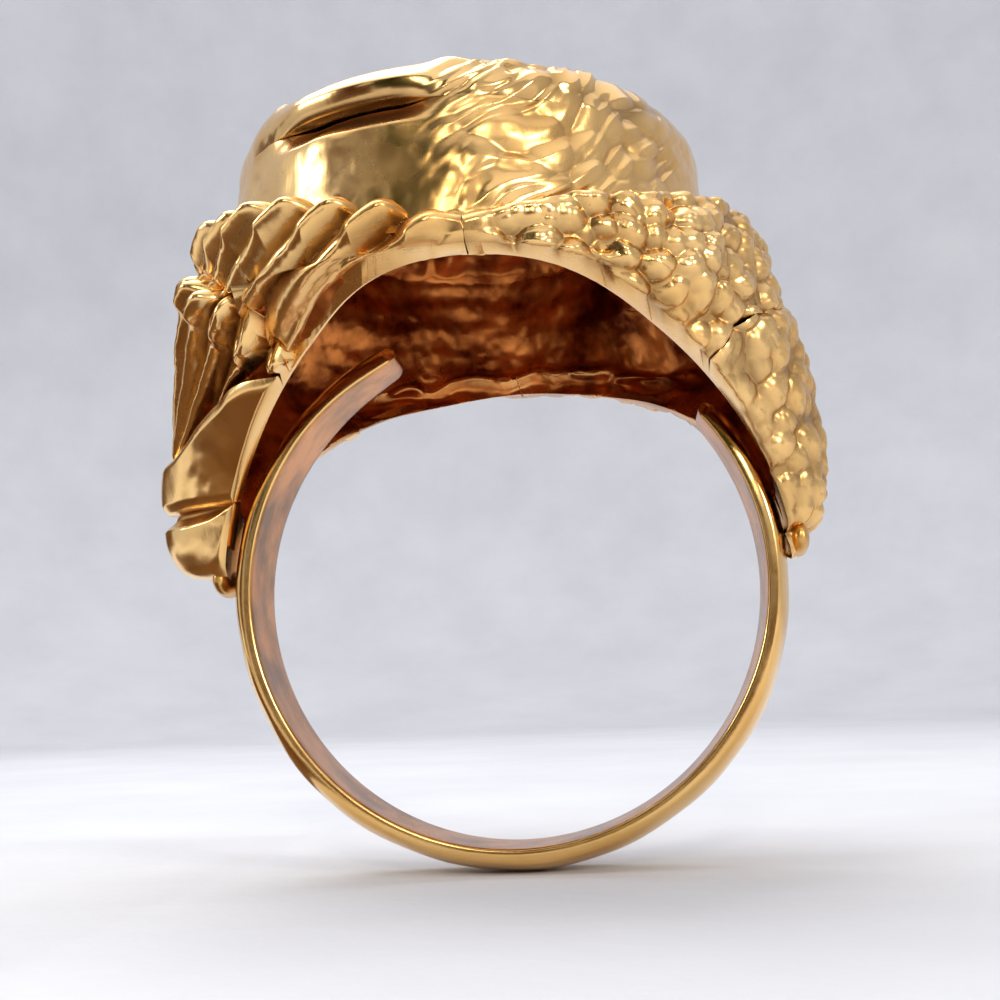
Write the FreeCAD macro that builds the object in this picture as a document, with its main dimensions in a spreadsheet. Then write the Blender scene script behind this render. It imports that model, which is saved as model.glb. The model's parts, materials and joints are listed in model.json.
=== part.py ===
import FreeCAD, Part
import math
import os
import Sketcher

# Cocktail ring, millimetres.  Origin: centre of the finger bore.
# +Y runs along the finger, +Z rises from the bore to the crown, +X is to the right.

doc = FreeCAD.newDocument("cocktail_ring")
V = FreeCAD.Vector

# ---------------------------------------------------------------- driving dimensions

SIZES = {
    # band: thin D-section wire, flat side to the finger
    "bore_radius": 8.3,
    "band_width": 3.0,
    "band_edge": 0.4,
    "band_crest": 0.8,
    "band_arc_left": 147.0,
    "band_arc_right": 128.0,
    "band_left_run": 1.4,
    "band_right_run": 0.4,
    # underside of the top: oval cut that clears the finger and the band
    "cut_half_x": 9.25,
    "cut_half_z": 8.45,
    "cut_length": 40.0,
    # crown drum and its polished cap
    "crown_shift": -0.85,
    "crown_half_x": 7.75,
    "crown_half_y": 9.15,
    "crown_flare": 0.45,
    "crown_foot": 8.0,
    "cap_seat": 12.95,
    "cap_bead": 0.2,
    "cap_round": 0.2,
    "cap_edge": 14.25,
    "cap_top": 15.95,
    "cap_dome_half_z": 4.0,
    # seams between the pieces of the top: a point (x, z) on each seam and its slope
    "collar_z": 9.05,
    "collar_slope": 13.5,
    "left_mid_slope": 46.0,
    "left_low_z": 6.1,
    "left_low_slope": -8.0,
    "left_toe_z": 2.85,
    "right_low_slope": 41.0,
    # relief depths
    "rib_depth": 0.42,
    "rib_count": 26.0,
    "pebble_depth": 0.15,
    "pebble_count": 14.0,
    # size of the blocks that trim each piece along its seams
    "trim": 40.0,
    # solder beads under the two toes
    "bead_radius": 0.5,
    "bead_length": 2.4,
    "bead_left_x": -9.5,
    "bead_left_z": 0.55,
    "bead_right_x": 9.45,
    "bead_right_z": 1.1,
}

# Stations of the outer skin: height, reach to the left, reach to the right,
# half width of the left side along the finger, half width of the right side.
SKIN = {
    "toe": (0.45, 10.2, 9.5, 2.9, 3.0),
    "ball": (1.0, 11.1, 9.9, 3.0, 3.1),
    "heel": (2.0, 11.6, 10.5, 3.0, 3.5),
    "ankle": (3.4, 11.75, 10.75, 3.5, 4.4),
    "calf": (5.6, 11.5, 10.5, 5.6, 6.8),
    "knee": (7.0, 11.2, 10.15, 7.4, 8.6),
    "hip": (8.4, 10.8, 9.75, 9.8, 9.9),
    "waist": (9.8, 10.4, 9.45, 10.0, 10.0),
    "chest": (11.2, 9.75, 8.75, 9.85, 9.85),
    "brow": (13.6, 9.1, 7.6, 9.7, 9.7),
}

# Stations of the hollow inside the top: height, left reach, right reach, half width.
HOLLOW = {
    "floor": (2.5, 10.55, 9.95, 2.1),
    "lower": (3.6, 10.75, 9.95, 2.7),
    "middle": (5.6, 10.5, 9.6, 4.7),
    "upper": (7.0, 10.1, 9.2, 6.5),
    "rim": (8.4, 9.6, 8.6, 8.75),
    "neck": (9.8, 8.7, 7.3, 8.75),
    "drum": (11.2, 7.9, 6.2, 8.5),
    "eave": (12.95, 7.7, 6.0, 8.2),
    "vault": (14.0, 6.2, 4.5, 6.5),
    "ceiling": (14.75, 2.9, 1.2, 2.6),
}

sheet = doc.addObject("Spreadsheet::Sheet", "Sheet")
row = 1


def put(alias, value):
    """Write one named number into the sheet."""
    global row
    sheet.set("A%d" % row, alias.replace("_", " "))
    sheet.set("B%d" % row, repr(float(value)))
    sheet.setAlias("B%d" % row, alias)
    row += 1


for name, value in SIZES.items():
    put(name, value)
for station, values in SKIN.items():
    for what, value in zip(("height", "left", "right", "left_half", "right_half"), values):
        put("skin_%s_%s" % (station, what), value)
for station, values in HOLLOW.items():
    for what, value in zip(("height", "left", "right", "half"), values):
        put("hollow_%s_%s" % (station, what), value)
doc.recompute()


def num(alias):
    """Read a driving number back from the sheet."""
    return float(sheet.get(alias))


# ---------------------------------------------------------------- small helpers


def bind(obj, **expressions):
    """Tie properties to sheet expressions; double underscores stand for dots."""
    for prop, text in expressions.items():
        obj.setExpression(prop.replace("__", "."), text)
    return obj


def feature(label, shape):
    """A fixed solid computed from the sheet."""
    obj = doc.addObject("Part::Feature", label)
    obj.Label = label
    obj.Shape = shape
    obj.Placement = FreeCAD.Placement()
    return obj


def cut(label, base, *tools):
    """Subtract every tool from the base."""
    for index, tool in enumerate(tools):
        obj = doc.addObject("Part::Cut", "%s_cut%d" % (label, index))
        obj.Base = base
        obj.Tool = tool
        obj.Label = "%s cut %d" % (label, index)
        base = obj
    doc.recompute()
    return base


def common(label, *shapes):
    """Keep only what all the shapes share."""
    obj = doc.addObject("Part::MultiCommon", "%s_common" % label)
    obj.Shapes = list(shapes)
    obj.Label = "%s common" % label
    doc.recompute()
    return obj


def fuse(label, *shapes):
    """Join shapes into one solid."""
    obj = doc.addObject("Part::MultiFuse", "%s_fuse" % label)
    obj.Shapes = list(shapes)
    obj.Label = "%s fuse" % label
    doc.recompute()
    return obj


def seam_block(label, height, slope, side, above):
    """A big block whose lower (above=True) or upper face lies on a seam plane.

    The seam passes through (0, 0, height); it climbs outwards by `slope` degrees on
    the given side (-1 left, +1 right).
    """
    box = doc.addObject("Part::Box", label)
    box.Label = label
    box.Placement = FreeCAD.Placement(V(0, 0, 0), FreeCAD.Rotation(V(0, 1, 0), 1))
    turn = "%d * (%s)" % (-side, slope)
    lift = "0" if above else "Sheet.trim"
    bind(
        box,
        Length="Sheet.trim * 1mm",
        Width="Sheet.trim * 1mm",
        Height="Sheet.trim * 1mm",
        Placement__Rotation__Angle="(%s) * 1deg" % turn,
        Placement__Base__x="(-Sheet.trim / 2 * cos((%s) * 1deg) - (%s) * sin((%s) * 1deg)) * 1mm"
        % (turn, lift, turn),
        Placement__Base__y="-Sheet.trim / 2 * 1mm",
        Placement__Base__z="(%s + Sheet.trim / 2 * sin((%s) * 1deg) - (%s) * cos((%s) * 1deg)) * 1mm"
        % (height, turn, lift, turn),
    )
    return box


def side_block(label, side):
    """Block that keeps everything on one side of the YZ plane."""
    box = doc.addObject("Part::Box", label)
    box.Label = label
    bind(
        box,
        Length="Sheet.trim * 1mm",
        Width="Sheet.trim * 1mm",
        Height="Sheet.trim * 1mm",
        Placement__Base__x="0mm" if side > 0 else "-Sheet.trim * 1mm",
        Placement__Base__y="-Sheet.trim / 2 * 1mm",
        Placement__Base__z="-Sheet.trim / 2 * 1mm",
    )
    return box


def oval(height, left, right, half, relief=None, steps=32):
    """Closed smooth outline in a horizontal plane, optionally with a relief."""
    middle, reach = (right - left) / 2, (right + left) / 2
    points = []
    for i in range(steps):
        angle = 2 * math.pi * i / steps
        out = relief(angle, height) if relief else 0.0
        points.append(
            V(middle + (reach + out) * math.cos(angle), (half + out) * math.sin(angle), height)
        )
    curve = Part.BSplineCurve()
    curve.interpolate(points, True)
    return Part.Wire([curve.toShape()])


def between(stations, height):
    """Straight-line interpolation of a station list at one height."""
    for low, high in zip(stations, stations[1:]):
        if height <= high[0] or high is stations[-1]:
            t = (height - low[0]) / (high[0] - low[0])
            return [a + (b - a) * t for a, b in zip(low, high)]


def skin_stations(side):
    """Outer skin stations as (height, left, right, half width) for one side."""
    half = "left_half" if side < 0 else "right_half"
    names = ("height", "left", "right", half)
    return [[num("skin_%s_%s" % (s, n)) for n in names] for s in SKIN]


def skin_blank(label, side, low, high, relief=None, swell=0.0, step=0.0, steps=48):
    """Loft of the outer skin between two heights, swollen by `swell`."""
    stations = skin_stations(side)
    if step:
        count = max(2, int(round((high - low) / step)))
        heights = [low + (high - low) * i / count for i in range(count + 1)]
    else:
        heights = [low] + [s[0] for s in stations if low < s[0] < high] + [high]
    wires = []
    for height in heights:
        _, left, right, half = between(stations, height)
        wires.append(
            oval(height, left + swell, right + swell, half + swell, relief, steps)
        )
    return feature(label, Part.makeLoft(wires, True, True))


# ---------------------------------------------------------------- band


def plane_of(body, role):
    """The body's own origin plane with the given role."""
    for item in body.Origin.OriginFeatures:
        if item.Role == role:
            return item


def band_profile(body, name, turn):
    """D-section of the band, turned about the finger axis from the bottom."""
    sketch = body.newObject("Sketcher::SketchObject", name)
    sketch.AttachmentSupport = [(plane_of(body, "YZ_Plane"), "")]
    sketch.MapMode = "FlatFace"
    sketch.AttachmentOffset = FreeCAD.Placement(V(0, 0, 0), FreeCAD.Rotation(V(1, 0, 0), turn))
    half, inner = num("band_width") / 2, num("bore_radius")
    edge, crest = inner + num("band_edge"), inner + num("band_crest")
    a, b, c, d = V(-half, -inner, 0), V(half, -inner, 0), V(half, -edge, 0), V(-half, -edge, 0)
    sketch.addGeometry(Part.LineSegment(a, b), False)
    sketch.addGeometry(Part.LineSegment(b, c), False)
    radius = ((half ** 2) + (crest - edge) ** 2) / (2 * (crest - edge))
    middle = V(0, radius - crest, 0)
    swing = math.asin(half / radius)
    circle = Part.Circle(middle, V(0, 0, 1), radius)
    down = 1.5 * math.pi
    sketch.addGeometry(Part.ArcOfCircle(circle, down - swing, down + swing), False)
    sketch.addGeometry(Part.LineSegment(d, a), False)
    con = Sketcher.Constraint
    sketch.addConstraint([
        con("Coincident", 0, 2, 1, 1),
        con("Coincident", 1, 2, 2, 2),
        con("Coincident", 2, 1, 3, 1),
        con("Coincident", 3, 2, 0, 1),
        con("Vertical", 1),
        con("Vertical", 3),
        con("Symmetric", 0, 1, 0, 2, -2),
        con("Equal", 1, 3),
    ])
    drives = (
        (con("DistanceX", 0, 1, 0, 2, 2 * half), "Sheet.band_width * 1mm"),
        (con("DistanceY", 0, 1, -1, 1, inner), "Sheet.bore_radius * 1mm"),
        (con("DistanceY", 1, 2, 1, 1, edge - inner), "Sheet.band_edge * 1mm"),
        (con("Radius", 2, radius),
         "((Sheet.band_width / 2)^2 + (Sheet.band_crest - Sheet.band_edge)^2)"
         " / (2 * (Sheet.band_crest - Sheet.band_edge)) * 1mm"),
    )
    for constraint, text in drives:
        index = sketch.addConstraint(constraint)
        sketch.setExpression("Constraints[%d]" % index, text)
    doc.recompute()
    return sketch


def make_band():
    body = doc.addObject("PartDesign::Body", "band_body")
    body.Label = "shank_band"
    doc.recompute()
    arcs = {"left": num("band_arc_left"), "right": num("band_arc_right")}
    round_part = band_profile(body, "band_section", (arcs["right"] - arcs["left"]) / 2)
    turned = body.newObject("PartDesign::Revolution", "band_round")
    turned.Profile = round_part
    turned.ReferenceAxis = (round_part, ["H_Axis"])
    turned.Midplane = True
    bind(turned, Angle="(Sheet.band_arc_left + Sheet.band_arc_right) * 1deg")
    doc.recompute()
    for name, sign in (("left", -1), ("right", 1)):
        section = band_profile(body, "band_%s_section" % name, sign * arcs[name])
        run = body.newObject("PartDesign::Pad", "band_%s_run" % name)
        run.Profile = section
        run.Reversed = sign > 0
        bind(run, Length="Sheet.band_%s_run * 1mm" % name)
        doc.recompute()
    return body


band = make_band()

# ---------------------------------------------------------------- tools for the top

finger_oval = doc.addObject("Part::Ellipse", "finger_oval")
finger_oval.Label = "finger oval"
finger_oval.Placement = FreeCAD.Placement(V(0, 0, 0), FreeCAD.Rotation(V(1, 0, 0), 90))
bind(
    finger_oval,
    MajorRadius="Sheet.cut_half_x * 1mm",
    MinorRadius="Sheet.cut_half_z * 1mm",
    Placement__Base__y="Sheet.cut_length / 2 * 1mm",
)
finger_cut = doc.addObject("Part::Extrusion", "finger_cut")
finger_cut.Label = "finger cut"
finger_cut.Base = finger_oval
finger_cut.DirMode = "Custom"
finger_cut.Dir = V(0, -1, 0)
finger_cut.Solid = True
bind(finger_cut, LengthFwd="Sheet.cut_length * 1mm")
doc.recompute()

hollow = feature(
    "hollow",
    Part.makeLoft(
        [oval(*[num("hollow_%s_%s" % (s, n)) for n in ("height", "left", "right", "half")])
         for s in HOLLOW],
        True,
        True,
    ),
)

left_side = side_block("left side", -1)
right_side = side_block("right side", 1)
COLLAR = ("Sheet.collar_z", "Sheet.collar_slope")
over_collar_left = seam_block("over collar left", *COLLAR, side=-1, above=True)
over_collar_right = seam_block("over collar right", *COLLAR, side=1, above=True)
under_collar_left = seam_block("under collar left", *COLLAR, side=-1, above=False)
under_collar_right = seam_block("under collar right", *COLLAR, side=1, above=False)
over_mid_left = seam_block("over mid left", "0", "Sheet.left_mid_slope", -1, True)
under_mid_left = seam_block("under mid left", "0", "Sheet.left_mid_slope", -1, False)
LOW = ("Sheet.left_low_z", "Sheet.left_low_slope")
over_low_left = seam_block("over low left", *LOW, side=-1, above=True)
under_low_left = seam_block("under low left", *LOW, side=-1, above=False)
over_toe_left = seam_block("over toe left", "Sheet.left_toe_z", "0", -1, True)
under_toe_left = seam_block("under toe left", "Sheet.left_toe_z", "0", -1, False)
over_low_right = seam_block("over low right", "0", "Sheet.right_low_slope", 1, True)
under_low_right = seam_block("under low right", "0", "Sheet.right_low_slope", 1, False)
doc.recompute()


# ---------------------------------------------------------------- crown


def crown_oval(height, grow):
    shift, half_x, half_y = num("crown_shift"), num("crown_half_x"), num("crown_half_y")
    return oval(height, half_x + grow - shift, half_x + grow + shift, half_y + grow)


drum = feature(
    "drum",
    Part.makeLoft(
        [crown_oval(num("crown_foot"), num("crown_flare")), crown_oval(num("cap_seat"), 0)],
        True,
        True,
    ),
)
crown_left = common("crown left", drum, over_collar_left, left_side)
crown_right = common("crown right", drum, over_collar_right, right_side)
crown_wall = cut("crown wall", fuse("crown", crown_left, crown_right), hollow, finger_cut)

lip = feature(
    "lip",
    Part.makeLoft(
        [
            crown_oval(num("cap_seat"), -0.05),
            crown_oval(num("cap_seat") + 0.3, num("cap_bead")),
            crown_oval(num("cap_edge") - 0.3, num("cap_bead")),
            crown_oval(num("cap_edge"), -num("cap_round")),
        ],
        True,
        True,
    ),
)
dome = doc.addObject("Part::Ellipsoid", "dome")
dome.Label = "dome"
SPREAD = (
    "sqrt(1 - ((Sheet.cap_edge - Sheet.cap_top + Sheet.cap_dome_half_z)"
    " / Sheet.cap_dome_half_z)^2)"
)
bind(
    dome,
    Radius1="Sheet.cap_dome_half_z * 1mm",
    Radius2="(Sheet.crown_half_x - Sheet.cap_round) / %s * 1mm" % SPREAD,
    Radius3="(Sheet.crown_half_y - Sheet.cap_round) / %s * 1mm" % SPREAD,
    Placement__Base__x="Sheet.crown_shift * 1mm",
    Placement__Base__z="(Sheet.cap_top - Sheet.cap_dome_half_z) * 1mm",
)
over_edge = seam_block("over edge", "Sheet.cap_edge", "0", 1, True)
cap_solid = fuse("cap", lip, common("cap dome", dome, over_edge))
crown_cap = cut("crown cap", cap_solid, hollow)

# ---------------------------------------------------------------- left shoulder


def ribs(shift, fade_low=0.0):
    """Scalloped relief: rounded ribs with creases between them."""
    count, depth = num("rib_count"), num("rib_depth")

    def relief(angle, height):
        wave = abs(math.sin(count / 2 * angle + shift + 0.18 * height))
        return -depth * (1 - wave ** 0.7) * (1.0 if height > fade_low else 0.5)

    return relief


left_skin_upper = skin_blank("left skin upper", -1, 5.5, 13.6, ribs(0.0), 0.0, steps=104)
left_skin_middle = skin_blank("left skin middle", -1, 4.5, 11.6, ribs(0.9), 0.12, steps=104)
left_skin_lower = skin_blank("left skin lower", -1, 2.0, 7.6, None, -0.08)
left_skin_toe = skin_blank("left skin toe", -1, 0.45, 3.4, None, 0.0)

left_upper = cut(
    "left upper",
    common("left upper", left_skin_upper, left_side, under_collar_left, over_mid_left),
    hollow,
    finger_cut,
)
left_middle = cut(
    "left middle",
    common("left middle", left_skin_middle, left_side, under_mid_left, over_low_left),
    hollow,
    finger_cut,
)
left_lower = cut(
    "left lower",
    common("left lower", left_skin_lower, left_side, under_low_left, under_mid_left,
           over_toe_left),
    hollow,
    finger_cut,
)
left_toe = cut(
    "left toe", common("left toe", left_skin_toe, left_side, under_toe_left), hollow, finger_cut
)

# ---------------------------------------------------------------- right shoulder


def pebbles(angle, height):
    """Rows of rounded grains, each row shifted by half a grain."""
    count, depth = num("pebble_count"), num("pebble_depth")
    rise = math.sin(2 * math.pi * height / 2.4)
    return -depth * (1 - math.sin(count * angle) * rise)


right_skin = skin_blank("right skin", 1, 0.9, 13.4, pebbles, 0.0, 0.6, 84)
right_upper = cut(
    "right upper",
    common("right upper", right_skin, right_side, under_collar_right, over_low_right),
    hollow,
    finger_cut,
)
right_lower = cut(
    "right lower", common("right lower", right_skin, right_side, under_low_right), hollow,
    finger_cut,
)

# ---------------------------------------------------------------- solder beads


def solder(label, side, toe):
    rod = doc.addObject("Part::Cylinder", label + "_rod")
    rod.Label = label + " rod"
    rod.Placement = FreeCAD.Placement(V(0, 0, 0), FreeCAD.Rotation(V(1, 0, 0), 90))
    bind(
        rod,
        Radius="Sheet.bead_radius * 1mm",
        Height="Sheet.bead_length * 1mm",
        Placement__Base__x="Sheet.bead_%s_x * 1mm" % side,
        Placement__Base__y="Sheet.bead_length / 2 * 1mm",
        Placement__Base__z="Sheet.bead_%s_z * 1mm" % side,
    )
    doc.recompute()
    return cut(label, rod, band, toe)


solder_left = solder("solder left", "left", left_toe)
solder_right = solder("solder right", "right", right_lower)

# ---------------------------------------------------------------- check and write

NODES = {
    "shank_band": band,
    "crown_wall": crown_wall,
    "crown_cap": crown_cap,
    "left_tier_upper": left_upper,
    "left_tier_middle": left_middle,
    "left_tier_lower": left_lower,
    "left_toe": left_toe,
    "right_pebbles_upper": right_upper,
    "right_pebbles_lower": right_lower,
    "solder_left": solder_left,
    "solder_right": solder_right,
}

doc.recompute()
for obj in doc.Objects:
    assert not set(obj.State) & {"Invalid", "Error"}, (obj.Label, obj.State)

os.makedirs("parts", exist_ok=True)
for node, obj in NODES.items():
    obj.Label = node
    shape = obj.Shape
    assert not shape.isNull() and shape.isValid() and shape.Volume > 0, node
    print(node, len(shape.Solids), round(shape.Volume, 2), [round(v, 2) for v in (
        shape.BoundBox.XMin, shape.BoundBox.XMax, shape.BoundBox.YMin, shape.BoundBox.YMax,
        shape.BoundBox.ZMin, shape.BoundBox.ZMax)])
    shape.exportStep("parts/%s.step" % node)
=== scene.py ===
import json
import math

import bmesh
import bpy
import numpy as np
from mathutils import Matrix, Vector


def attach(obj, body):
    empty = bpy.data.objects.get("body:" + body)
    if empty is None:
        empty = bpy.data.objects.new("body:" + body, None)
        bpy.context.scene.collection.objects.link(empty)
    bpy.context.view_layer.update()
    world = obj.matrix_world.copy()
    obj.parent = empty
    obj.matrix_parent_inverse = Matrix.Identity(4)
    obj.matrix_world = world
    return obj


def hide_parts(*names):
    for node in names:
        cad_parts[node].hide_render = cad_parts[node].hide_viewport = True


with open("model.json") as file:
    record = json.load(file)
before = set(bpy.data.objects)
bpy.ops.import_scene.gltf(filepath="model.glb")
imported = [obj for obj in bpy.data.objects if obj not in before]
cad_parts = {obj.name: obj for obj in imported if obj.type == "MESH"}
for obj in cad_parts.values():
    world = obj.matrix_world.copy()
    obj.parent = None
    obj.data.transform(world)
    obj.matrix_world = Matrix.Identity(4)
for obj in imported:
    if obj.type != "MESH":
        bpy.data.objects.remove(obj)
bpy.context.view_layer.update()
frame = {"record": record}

MM = 0.001
SEED = 7

# ------------------------------------------------------------------ shape of the ring, in mm

BORE = 8.3
BAND_WIDTH, BAND_EDGE, BAND_CREST = 3.0, 0.4, 0.8
BAND_LEFT, BAND_RIGHT, LEFT_RUN, RIGHT_RUN = 147.0, 128.0, 1.4, 0.4
BAND_MIDDLE = BORE + BAND_EDGE
END_ROUND, END_TAPER = 0.45, 4.5  # lengths over which the band's ends round off and narrow
CUT_X, CUT_Z = 9.25, 8.45
CROWN_SHIFT, CROWN_X, CROWN_Y, CROWN_FLARE = -0.85, 7.75, 9.15, 0.45
CROWN_FOOT, CAP_SEAT, CAP_EDGE, CAP_TOP = 8.0, 12.95, 14.25, 15.95
COLLAR_Z, COLLAR_SLOPE = 9.05, math.tan(math.radians(13.5))
MID_SLOPE = math.tan(math.radians(46.0))
LOW_Z, LOW_SLOPE = 6.1, math.tan(math.radians(-8.0))
TOE_Z = 2.85
RIGHT_SLOPE = math.tan(math.radians(41.0))
HOLLOW_BEND, HOLLOW_TOP, UNDER_POLE = 14.0, 14.75, 14.9
LEVEL_SCALE = 4.0  # turns the finger cut's level into roughly millimetres
OVERLAP = 0.02  # how far the left and right shoulders run past the middle plane

# Outside of the top: height, left reach, right reach, half width left, half width right
SKIN = np.array([
    (0.45, 10.2, 9.5, 2.9, 3.0),
    (1.0, 11.1, 9.9, 3.0, 3.1),
    (2.0, 11.6, 10.5, 3.0, 3.5),
    (3.4, 11.75, 10.75, 3.5, 4.4),
    (5.6, 11.5, 10.5, 5.6, 6.8),
    (7.0, 11.2, 10.15, 7.4, 8.6),
    (8.4, 10.8, 9.75, 9.8, 9.9),
    (9.8, 10.4, 9.45, 10.0, 10.0),
    (11.2, 9.75, 8.75, 9.85, 9.85),
    (13.6, 9.1, 7.6, 9.7, 9.7),
])
# Inside of the top: height, left reach, right reach, half width
HOLLOW = np.array([
    (0.4, 9.0, 9.0, 0.6),
    (2.5, 9.2, 9.1, 1.2),
    (2.9, 10.6, 9.9, 2.1),
    (3.6, 10.75, 9.95, 2.7),
    (5.6, 10.5, 9.6, 4.7),
    (7.0, 10.1, 9.2, 6.5),
    (8.4, 9.6, 8.6, 8.75),
    (9.8, 8.7, 7.3, 8.75),
    (11.2, 7.9, 6.2, 8.5),
    (12.95, 7.7, 6.0, 8.2),
    (14.0, 6.2, 4.5, 6.5),
    (14.75, 2.9, 1.2, 2.6),
])


def ramp(x, low, high):
    """Smooth step from 0 at low to 1 at high."""
    t = np.clip((x - low) / (high - low), 0, 1)
    return t * t * (3 - 2 * t)


def smooth_curve(xs, ys):
    """Monotone cubic through the points, as a function of x."""
    h = np.diff(xs)
    d = np.diff(ys) / h
    m = np.zeros_like(ys)
    m[0], m[-1] = d[0], d[-1]
    for i in range(1, len(xs) - 1):
        if d[i - 1] * d[i] > 0:
            w1, w2 = 2 * h[i] + h[i - 1], h[i] + 2 * h[i - 1]
            m[i] = (w1 + w2) / (w1 / d[i - 1] + w2 / d[i])

    def at(x):
        x = np.clip(x, xs[0], xs[-1])
        i = np.clip(np.searchsorted(xs, x) - 1, 0, len(xs) - 2)
        t = (x - xs[i]) / h[i]
        return (
            (2 * t**3 - 3 * t**2 + 1) * ys[i]
            + (t**3 - 2 * t**2 + t) * h[i] * m[i]
            + (-2 * t**3 + 3 * t**2) * ys[i + 1]
            + (t**3 - t**2) * h[i] * m[i + 1]
        )

    return at


skin_left, skin_right, skin_half_l, skin_half_r = (
    smooth_curve(SKIN[:, 0], SKIN[:, k]) for k in (1, 2, 3, 4)
)
hollow_left, hollow_right, hollow_half = (
    smooth_curve(HOLLOW[:, 0], HOLLOW[:, k]) for k in (1, 2, 3)
)


def oval_point(phi, left, right, half):
    """Point at an angle on an oval that reaches left and right of the origin."""
    middle, reach = (right - left) / 2, (right + left) / 2
    return middle + reach * np.cos(phi), half * np.sin(phi)


def skin_point(side, phi, z):
    """Point on the outside of the top; side is -1 for the left shoulder, 1 for the right."""
    own, other = (skin_half_l, skin_half_r) if side < 0 else (skin_half_r, skin_half_l)
    x, y = oval_point(phi, skin_left(z), skin_right(z), own(z))
    share = 0.5 * (1 - ramp(np.abs(x), 0.0, 2.5))
    return x, y * (1 + share * (other(z) / own(z) - 1))


def hollow_point(phi, z):
    """Point on the inside of the top."""
    return oval_point(phi, hollow_left(z), hollow_right(z), hollow_half(z))


def cut_x(z):
    """Half width of the finger cut at a height; zero above it."""
    return CUT_X * np.sqrt(np.clip(1 - (z / CUT_Z) ** 2, 0, None))


def cut_level(x, z):
    """Above zero outside the finger cut."""
    return LEVEL_SCALE * ((x / CUT_X) ** 2 + (z / CUT_Z) ** 2 - 1)


# ------------------------------------------------------------------ noise


def _hash(i, j, k, seed):
    """Repeatable number from 0 to 1 for a whole-number point."""
    n = (i * 374761393 + j * 668265263 + k * 2147483647 + seed * 1274126177) & 0xFFFFFFFF
    n = ((n ^ (n >> 13)) * 1274126177) & 0xFFFFFFFF
    return ((n ^ (n >> 16)) & 0xFFFF) / 65535.0


def noise(x, y, z, seed=SEED):
    """Smooth value noise, -1 to 1."""
    xi, yi, zi = (np.floor(v).astype(np.int64) for v in (x, y, z))
    fx, fy, fz = x - xi, y - yi, z - zi
    fx, fy, fz = (f * f * f * (f * (f * 6 - 15) + 10) for f in (fx, fy, fz))
    out = 0
    for dx in (0, 1):
        for dy in (0, 1):
            for dz in (0, 1):
                w = (fx if dx else 1 - fx) * (fy if dy else 1 - fy) * (fz if dz else 1 - fz)
                out = out + w * _hash(xi + dx, yi + dy, zi + dz, seed)
    return out * 2 - 1


def fractal(x, y, z, octaves=3, seed=SEED):
    """Noise at several scales, each twice as fine and half as strong as the last."""
    total, amp = 0, 1.0
    for o in range(octaves):
        total = total + amp * noise(x * 2**o, y * 2**o, z * 2**o, seed + o)
        amp *= 0.5
    return total / 1.75


def bumps(x, y, z, size, seed=SEED):
    """Soft round lumps, 0 to 1."""
    x, y, z = x / size, y / size, z / size
    xi, yi, zi = (np.floor(v).astype(np.int64) for v in (x, y, z))
    total = np.zeros(np.shape(x))
    weight = np.full(np.shape(x), 1e-9)
    for dx in (-1, 0, 1):
        for dy in (-1, 0, 1):
            for dz in (-1, 0, 1):
                i, j, k = xi + dx, yi + dy, zi + dz
                px = i + 0.1 + 0.8 * _hash(i, j, k, seed)
                py = j + 0.1 + 0.8 * _hash(i, j, k, seed + 11)
                pz = k + 0.1 + 0.8 * _hash(i, j, k, seed + 23)
                far = (x - px) ** 2 + (y - py) ** 2 + (z - pz) ** 2
                w = np.exp(-9.0 * far)
                total += w * np.clip(1 - far / 0.6, 0, 1)
                weight += w
    return np.clip(total / weight, 0, 1) ** 0.8


# ------------------------------------------------------------------ mesh building


def new_mesh(name, verts, faces, crease=None, inside=None):
    """Smooth shaded mesh from points in mm, with its painted crease shade and painted inner shade
    as point attributes.
    """
    mesh = bpy.data.meshes.new(name)
    polygons = [tuple(int(i) for i in f) for f in faces]
    mesh.from_pydata((np.asarray(verts) * MM).tolist(), [], polygons)
    mesh.update()
    mesh.polygons.foreach_set("use_smooth", [True] * len(mesh.polygons))
    if crease is not None:
        layer = mesh.attributes.new("crease", "FLOAT", "POINT")
        layer.data.foreach_set("value", np.asarray(crease, dtype=np.float32).ravel())
        layer = mesh.attributes.new("inside", "FLOAT", "POINT")
        if inside is not None:
            layer.data.foreach_set("value", np.asarray(inside, dtype=np.float32).ravel())
    obj = bpy.data.objects.new(name, mesh)
    bpy.context.scene.collection.objects.link(obj)
    return obj


def grid_faces(rows, cols, start=0, flip=False, wrap=False):
    """Quads of a grid of points laid out row by row."""
    r = np.arange(rows - 1)[:, None]
    c = np.arange(cols if wrap else cols - 1)[None, :]
    d = (c + 1) % cols
    a, b = r * cols + c, r * cols + d
    e, f = (r + 1) * cols + d, (r + 1) * cols + c
    quads = np.stack([a, b, e, f], -1).reshape(-1, 4) + start
    return quads[:, ::-1] if flip else quads


def grid_normals(p, wrap=False):
    """Unit normals of a grid of points."""
    if wrap:
        du = np.roll(p, -1, 1) - np.roll(p, 1, 1)
    else:
        du = np.gradient(p, axis=1)
    dv = np.gradient(p, axis=0)
    n = np.cross(du, dv)
    return n / np.maximum(np.linalg.norm(n, axis=-1, keepdims=True), 1e-9)


def outward(normals, sign):
    """The normals, turned round where the sign says that they point inwards."""
    return -normals if sign.mean() < 0 else normals


def loop_strip(outer_ids, inner_ids, flip=False):
    """Quads between two closed loops of the same length."""
    a, b = np.asarray(outer_ids), np.asarray(inner_ids)
    quads = np.stack([a, np.roll(a, -1), np.roll(b, -1), b], -1)
    return quads[:, ::-1] if flip else quads


def perimeter(rows, cols):
    """Ids round the edge of a grid."""
    ids = np.arange(rows * cols).reshape(rows, cols)
    return np.concatenate([ids[0, :-1], ids[:-1, -1], ids[-1, :0:-1], ids[:0:-1, 0]])


PHI_SAMPLES, Z_SAMPLES = 1600, 900
SHARP_ANGLE = math.radians(48)


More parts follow.
